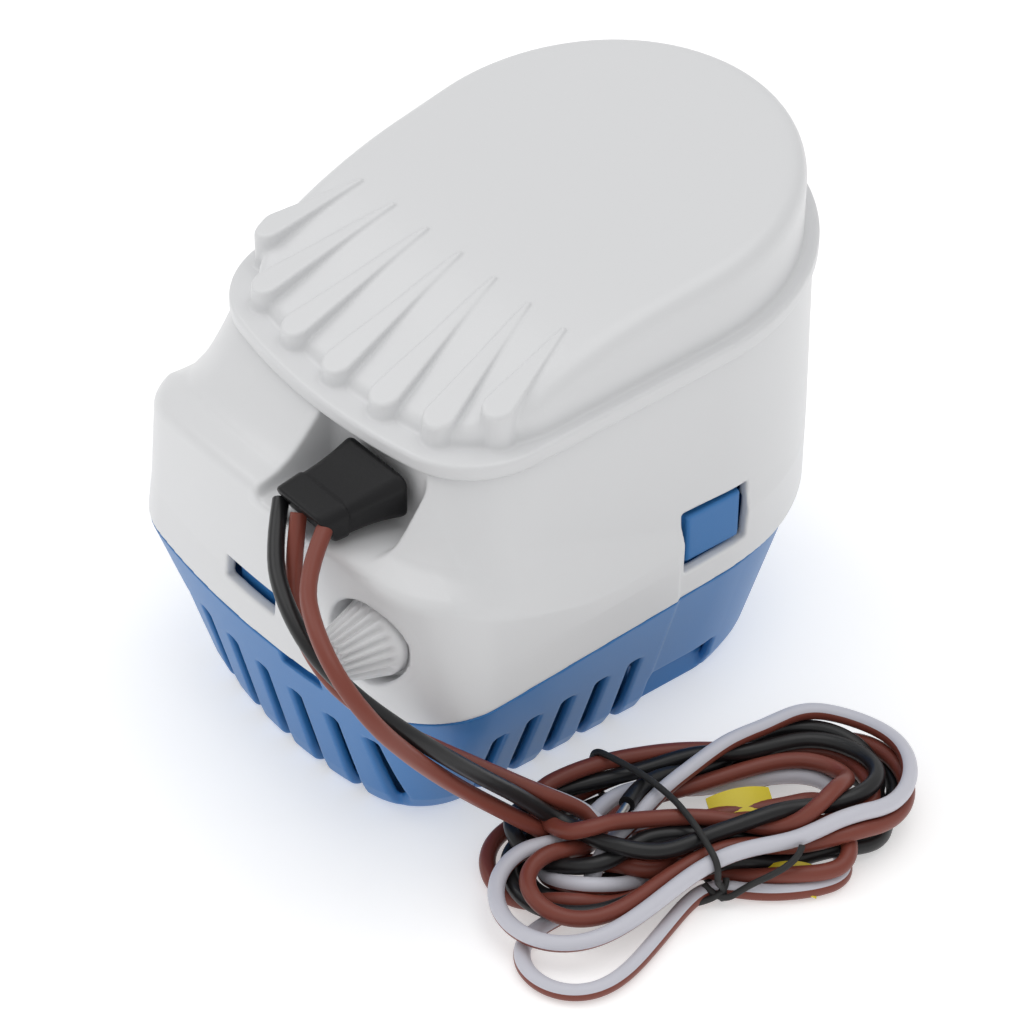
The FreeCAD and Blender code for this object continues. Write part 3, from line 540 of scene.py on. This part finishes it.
# Each lead's way through the hank, anticlockwise from above: lobes at its back or front end, each with
# (centre x, centre y, radius, height, x and height where it then crosses the waist).
TURNS = {
    "black": [("enter", 62.0, -33.0, 12.0, 8.6, 74.0, 9.2), ("back", 75.0, -2.0, 11.0, 8.0, 51.0, 7.6),
              ("front", 54.5, -44.5, 10.2, 5.4, 71.5, 6.0), ("back", 75.5, 1.5, 13.0, 4.8, 53.5, 3.2),
              ("front", 62.5, -50.0, 11.0, 4.2, 76.5, 3.2), ("back", 77.0, -2.0, 12.0, 1.8, 50.5, 1.8),
              ("front", 57.5, -46.0, 10.0, 1.8, 66.0, 1.8), ("back", 73.0, -0.5, 12.0, 6.4, 57.0, 9.6)],
    "brown_white": [("enter", 63.0, -31.0, 10.5, 5.6, 72.0, 5.6), ("back", 76.0, -6.0, 8.6, 5.0, 52.5, 5.2),
                    ("front", 67.5, -55.5, 12.4, 5.4, 79.5, 8.8), ("back", 75.5, 1.5, 14.6, 9.0, 60.5, 10.4),
                    ("front", 76.8, -60.5, 10.2, 1.6, 78.0, 1.8), ("back", 82.0, -13.5, 9.6, 1.8, 62.0, 2.0),
                    ("front", 62.5, -45.0, 8.5, 3.0, 70.0, 2.6)],
    "brown": [("enter", 61.5, -34.0, 11.5, 4.6, 67.0, 5.4), ("back", 74.0, -3.0, 12.0, 6.4, 47.5, 9.0),
              ("front", 55.2, -38.5, 8.6, 9.2, 69.5, 9.4), ("back", 75.5, -6.0, 9.2, 8.0, 57.0, 6.4),
              ("front", 67.0, -52.0, 9.8, 6.2, 76.0, 6.4), ("back", 76.0, 0.5, 13.8, 5.6, 47.5, 4.6),
              ("front", 57.0, -49.0, 12.6, 2.4, 73.5, 2.0), ("back", 82.0, -13.0, 9.0, 4.6, 66.0, 5.0)],
}
ENDS = {"black": (62.6, -36.8, 10.4), "brown_white": (75.0, -17.0, 3.0), "brown": (66.0, -38.0, 6.0)}
SWEEPS = {"enter": (1.72, 2.1), "back": (-0.1, 1.1), "front": (0.9, 2.1)}
WAIST_Y = -29.0
HANK_LEAN = 0.36


def winding(name):
    """Aimed-for line of one lead from the end of its route: round lobes joined across the waist."""
    points = []
    for end, cx, cy, radius, height, waist_x, waist_z in TURNS[name]:
        first, last = SWEEPS[end]
        for n in range(7):
            a = (first + (last - first) * n / 6) * math.pi - HANK_LEAN
            points.append((cx + radius * math.cos(a), cy + radius * math.sin(a), height))
        points.append((waist_x, WAIST_Y, waist_z))
    points.append(ENDS[name])
    before, start, entry, after = [np.array(p) for p in (*ROUTES[name][-2:], points[0], points[1])]
    reach = np.linalg.norm(entry - start) * 0.45
    leave = start + (start - before) / np.linalg.norm(start - before) * reach
    arrive = entry - (after - entry) / np.linalg.norm(after - entry) * reach
    bow = []
    for n in range(9):
        t = n / 9
        bow.append((1 - t) ** 3 * start + 3 * t * (1 - t) ** 2 * leave
                   + 3 * t * t * (1 - t) * arrive + t ** 3 * entry)
    return bow + [np.array(p) for p in points]


def even(points, gap):
    """The same line with its points a steady distance apart."""
    points = np.array(points, float)
    along = np.concatenate([[0], np.cumsum(np.linalg.norm(np.diff(points, axis=0), axis=1))])
    count = int(round(along[-1] / gap))
    spots = np.linspace(0, along[-1], count + 1)
    return np.stack([np.interp(spots, along, points[:, n]) for n in range(3)], axis=1)


GAP = 2.0
HOLD = 0.012
ROUNDS = 500


def relax(points, owner, place, fixed, rounds):
    """Pushes overlapping lines apart and up off the floor; some crossings still press together."""
    points = points.copy()
    bend = ((owner[:-2] == owner[2:]) & ~fixed[1:-1])[:, None]

    def soften(weight):
        points[1:-1] += np.where(bend, weight * ((points[:-2] + points[2:]) / 2 - points[1:-1]), 0)

    for _ in range(16):
        soften(0.5)
        soften(-0.52)
    aim = points.copy()
    for step in range(rounds):
        if step % 10 == 0:
            far = np.sqrt(((points[:, None] - points[None]) ** 2).sum(axis=2))
            same = (owner[:, None] == owner[None]) & (np.abs(place[:, None] - place[None]) < 6)
            one, two = np.nonzero(np.triu((far < 9) & ~same, 1))
        gap = points[one] - points[two]
        far = np.sqrt((gap ** 2).sum(axis=1)) + 1e-6
        push = (0.42 * np.maximum(LEAD_D * 1.04 - far, 0) / far)[:, None] * gap
        move = HOLD * (1 - step / rounds) * (aim - points)
        np.add.at(move, one, push)
        np.add.at(move, two, -push)
        points += np.where(fixed[:, None], 0, np.clip(move, -0.6, 0.6))
        soften(0.5)
        soften(-0.5)
        points[:, 2] = np.maximum(points[:, 2], LEAD_D / 2 + 0.03)
    return points


def lay_leads(rounds):
    """Each lead's points inside the hank, two millimetres apart, pushed apart where they overlap."""
    lines = []
    for name in ROUTES:
        lines.append(np.concatenate([even(ROUTES[name][4:], GAP)[:-1], even(winding(name), GAP)]))
    heads = [len(even(ROUTES[name][4:], GAP)) - 1 for name in ROUTES]
    owner = np.repeat(np.arange(len(lines)), [len(line) for line in lines])
    place = np.concatenate([np.arange(len(line)) for line in lines])
    fixed = place <= np.array(heads)[owner] + 1
    points = relax(np.concatenate(lines), owner, place, fixed, rounds)
    return {name: points[(owner == n) & (place > heads[n])] for n, name in enumerate(ROUTES)}


def curve_object(name, points, diameter):
    data = bpy.data.curves.new(name, "CURVE")
    data.dimensions = "3D"
    data.twist_mode = "Z_UP"
    data.bevel_depth = diameter / 2 * MM
    data.bevel_resolution = 8
    data.resolution_u = 6
    data.use_fill_caps = True
    spline = data.splines.new("NURBS")
    spline.points.add(len(points) - 1)
    for point, place in zip(spline.points, points):
        point.co = (place[0] * MM, place[1] * MM, place[2] * MM, 1)
    spline.order_u = 3
    spline.use_endpoint_u = True
    made = bpy.data.objects.new(name, data)
    bpy.context.scene.collection.objects.link(made)
    return made


LAID = lay_leads(ROUNDS)
LEADS = {name: [tuple(p) for p in ROUTES[name]] + [tuple(p) for p in LAID[name][1::2]] for name in ROUTES}


BROWN_COLOR = (0.20, 0.050, 0.034)
PALE_COLOR = (0.60, 0.60, 0.66)
DRIFT_RATE, DRIFT_START, DRIFT_SIZE = 10.05, -6.23, 0.63
EARLY_SHARE, EARLY_RATE = 0.10, 30.0


def two_tone():
    """Brown insulation whose one half is white, turning slowly along the lead."""
    made = material("brown_white_insulation", BROWN_COLOR, 0.38)
    nodes, links = made.node_tree.nodes, made.node_tree.links

    def maths(kind, first, second=None):
        node = nodes.new("ShaderNodeMath")
        node.operation = kind
        for socket, value in ((0, first), (1, second)):
            if isinstance(value, (int, float)):
                node.inputs[socket].default_value = value
            elif value is not None:
                links.new(value, node.inputs[socket])
        return node.outputs[0]

    place = nodes.new("ShaderNodeTexCoord")
    parts = nodes.new("ShaderNodeSeparateXYZ")
    links.new(place.outputs["UV"], parts.inputs["Vector"])
    phase = maths("ADD", maths("MULTIPLY", parts.outputs["X"], DRIFT_RATE), DRIFT_START)
    drift = maths("MULTIPLY", maths("SINE", phase), DRIFT_SIZE)
    left = maths("MAXIMUM", maths("SUBTRACT", EARLY_SHARE, parts.outputs["X"]), 0.0)
    early = maths("MULTIPLY", left, EARLY_RATE)
    turn = maths("ADD", maths("MULTIPLY", parts.outputs["Y"], 2 * math.pi), maths("ADD", drift, early))
    edge = maths("GREATER_THAN", maths("COSINE", maths("SUBTRACT", turn, 0.4 * math.pi)), 0.05)
    mix = nodes.new("ShaderNodeMix")
    mix.data_type = "RGBA"
    mix.inputs[6].default_value = (*BROWN_COLOR, 1)
    mix.inputs[7].default_value = (*PALE_COLOR, 1)
    links.new(edge, mix.inputs[0])
    links.new(mix.outputs[2], nodes["Principled BSDF"].inputs["Base Color"])
    return made


BROWN = material("brown_insulation", BROWN_COLOR, 0.38)
BLACK_LEAD = material("black_insulation", (0.012, 0.012, 0.013), 0.34)
TWO_TONE = two_tone()
SHINE = ((BLACK, 0.2), (DARK, 0.25), (BLACK_LEAD, 0.4), (BROWN, 0.35), (TWO_TONE, 0.35), (BLUE, 0.4))
for dull, level in SHINE:
    dull.node_tree.nodes["Principled BSDF"].inputs["Specular IOR Level"].default_value = level
NODE_OF = {"black": "black_lead", "brown_white": "brown_white_lead", "brown": "brown_lead"}
PAINT_OF = {"black": BLACK_LEAD, "brown_white": TWO_TONE, "brown": BROWN}
for name, points in LEADS.items():
    made = curve_object(name + "_cord", points, LEAD_D)
    stand_for(made, NODE_OF[name], PAINT_OF[name])
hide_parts("lead_hank")

# ---- twisted tie round the waist, tags and bare ends ----
TIE_Y = -30.6
TIE_R = 0.62


def tie_line():
    """Tight loop round every lead that crosses the waist, starting at the corner where the tail and stub
    leave.
    """
    rims = []
    for line in LAID.values():
        for before, after in zip(line, line[1:]):
            if (before[1] - TIE_Y) * (after[1] - TIE_Y) > 0:
                continue
            middle = (before + after) / 2
            for n in range(16):
                a = 2 * math.pi * n / 16
                reach = LEAD_D / 2 + TIE_R
                rims.append((middle[0] + reach * math.cos(a), max(middle[2] + reach * math.sin(a), TIE_R)))
    rims = sorted(set(rims))
    hull = []
    for group in (rims, rims[::-1]):
        side = []
        for p in group:
            while len(side) > 1 and ((side[-1][0] - side[-2][0]) * (p[1] - side[-2][1])
                                     - (side[-1][1] - side[-2][1]) * (p[0] - side[-2][0])) <= 0:
                side.pop()
            side.append(p)
        hull += side[:-1]
    ring = even([(x, 0, z) for x, z in hull + hull[:1]], 1.6)
    first = int(np.argmax(ring[:, 0] - 2 * ring[:, 2]))
    ring = np.concatenate([ring[first:-1], ring[:first + 1]])
    left, right_edge = ring[:, 0].min(), ring[:, 0].max()
    share = (ring[:, 0] - left) / (right_edge - left)
    ring[:, 1] = TIE_Y + 2.6 * np.sin(share * math.pi) - 1.6 * share * (ring[:, 2] > 4)
    return ring


def tube(name, points, diameter):
    made = curve_object(name, points, diameter)
    made.data.splines[0].order_u = 4
    return made


def joined_mesh(name, objects):
    """One mesh made of several curves or meshes."""
    bpy.context.view_layer.update()
    graph = bpy.context.evaluated_depsgraph_get()
    points, faces = [], []
    for obj in objects:
        shape = obj.evaluated_get(graph).to_mesh()
        base = len(points)
        points += [tuple(v.co) for v in shape.vertices]
        faces += [[base + n for n in face.vertices] for face in shape.polygons]
        obj.evaluated_get(graph).to_mesh_clear()
    for obj in objects:
        bpy.data.objects.remove(obj)
    data = bpy.data.meshes.new(name)
    data.from_pydata(points, [], faces)
    data.update()
    for face in data.polygons:
        face.use_smooth = True
    made = bpy.data.objects.new(name, data)
    bpy.context.scene.collection.objects.link(made)
    return made


RING = tie_line()
CORNER = RING[0]
TAIL = [(CORNER[0] - 3.0, CORNER[1] - 2.0, 3.4), (CORNER[0] + 1.2, CORNER[1] - 1.6, 1.6),
        (CORNER[0] + 1.8, CORNER[1] + 2.0, 2.6), (85.6, -27.0, 5.0), (88.0, -22.6, 7.0),
        (88.6, -18.5, 8.6), (87.4, -16.8, 9.6)]
STUB = [(CORNER[0] - 1.0, CORNER[1] + 1.5, 4.2), (CORNER[0] + 1.6, CORNER[1] - 0.4, 2.4),
        (CORNER[0] - 1.4, CORNER[1] - 4.6, 1.2), (CORNER[0] - 3.8, CORNER[1] - 7.6, 0.9)]
tie = joined_mesh("tie", [tube("tie_ring", RING, 2 * TIE_R), tube("tie_tail", TAIL, 2 * TIE_R),
                          tube("tie_stub", STUB, 2 * TIE_R)])
stand_for(tie, "twist_tie", DARK)

# Each tag is a folded strip: (centre x, centre y, centre z, heading, tilt, length)
TAGS = [(70.0, -15.6, 6.6, 1.15, 0.35, 12.0), (84.0, -11.6, 6.0, 1.0, -0.45, 12.0),
        (87.6, -19.2, 3.2, 0.9, 0.5, 9.0)]
TAG_W = 5.4
TAG_T = 0.35


def tag_mesh():
    """Thin strips bent over the leads, with a little thickness."""
    points, faces = [], []
    steps = 14
    for cx, cy, cz, heading, tilt, length in TAGS:
        ux, uy = math.cos(heading), math.sin(heading)
        base = len(points)
        for n in range(steps + 1):
            s = n / steps - 0.5
            drop = -5.0 * s * s
            for side, lift in ((-0.5, 0), (0.5, 0), (0.5, TAG_T), (-0.5, TAG_T)):
                w = side * TAG_W
                points.append((cx + s * length * ux - w * uy, cy + s * length * uy + w * ux,
                               max(cz + drop + w * tilt + lift, 0.2 + lift)))
        for n in range(steps):
            a = base + 4 * n
            for k in range(4):
                faces.append([a + k, a + (k + 1) % 4, a + 4 + (k + 1) % 4, a + 4 + k])
        faces.append([base + 3, base + 2, base + 1, base])
        last = base + 4 * steps
        faces.append([last, last + 1, last + 2, last + 3])
    return np.array(points), faces


tag_points, tag_faces = tag_mesh()
tags = mesh_object("tags", tag_points, tag_faces, False)
stand_for(tags, "lead_label", YELLOW)

tips = []
for name in ROUTES:
    last = LAID[name][-1]
    heading = (last - LAID[name][-4]) / np.linalg.norm(last - LAID[name][-4])
    tips.append(tube(name + "_tip", [last - heading * 1.0, last + heading * 2.2, last + heading * 4.4,
                                     last + heading * 5.4], 1.7))
tips = joined_mesh("tinned_ends", tips)
stand_for(tips, "bare_ends", TIN)


# ---- stage, light and camera ----
def plane(name, size, z):
    half = size / 2
    points = [(-half, -half, z), (half, -half, z), (half, half, z), (-half, half, z)]
    return mesh_object(name, np.array(points), np.array([[0, 1, 2, 3]]), False)


floor = plane("floor", 6000, -0.02)
floor_paint = material("floor", (0.78, 0.78, 0.78), 0.7)
shade = floor_paint.node_tree.nodes["Principled BSDF"]
shade.inputs["Emission Color"].default_value = (1, 1, 1, 1)
shade.inputs["Emission Strength"].default_value = 0.42
set_material(floor, floor_paint)


def area_light(name, place, target, size, energy, color=(1, 1, 1)):
    data = bpy.data.lights.new(name, "AREA")
    data.shape = "RECTANGLE"
    data.size, data.size_y = size
    data.energy = energy
    data.color = color
    made = bpy.data.objects.new(name, data)
    made.location = place
    made.rotation_euler = (Vector(target) - Vector(place)).to_track_quat("-Z", "Y").to_euler()
    bpy.context.scene.collection.objects.link(made)
    return made


area_light("key", (-0.9, -0.5, 1.2), (0, 0, 0.03), (0.9, 0.9), 3.6)
area_light("fill", (0.9, -1.1, 0.9), (0, 0, 0.03), (1.2, 0.9), 0.8)
area_light("top", (0.1, 0.2, 1.5), (0, 0, 0.03), (1.2, 1.2), 5.4)
world = bpy.data.worlds.new("studio")
world.use_nodes = True
world.node_tree.nodes["Background"].inputs["Color"].default_value = (1, 1, 1, 1)
world.node_tree.nodes["Background"].inputs["Strength"].default_value = 0.62
bpy.context.scene.world = world

LENS = 148.6
SENSOR = 36.0
# Camera place in millimetres along its own right, up and back directions, from the origin.
CAMERA_AT = (-9.444, 17.029, 820.7)
ELEVATION = math.radians(39.354)
AZIMUTH = math.radians(50.381)
ROLL = math.radians(0.634)
back = Vector((math.sin(AZIMUTH) * math.cos(ELEVATION), -math.cos(AZIMUTH) * math.cos(ELEVATION),
               math.sin(ELEVATION)))
right = Vector((math.cos(AZIMUTH), math.sin(AZIMUTH), 0))
up = back.cross(right)
across = right * math.cos(ROLL) + up * math.sin(ROLL)
upward = up * math.cos(ROLL) - right * math.sin(ROLL)
camera_data = bpy.data.cameras.new("camera")
camera_data.lens = LENS
camera_data.sensor_width = SENSOR
camera_data.clip_start = 0.05
camera_data.clip_end = 20
camera = bpy.data.objects.new("camera", camera_data)
place = (across * CAMERA_AT[0] + upward * CAMERA_AT[1] + back * CAMERA_AT[2]) * MM
camera.matrix_world = Matrix((
    (across.x, upward.x, back.x, place.x), (across.y, upward.y, back.y, place.y),
    (across.z, upward.z, back.z, place.z), (0, 0, 0, 1)))
bpy.context.scene.collection.objects.link(camera)
bpy.context.scene.camera = camera
bpy.context.scene.view_settings.view_transform = "Standard"
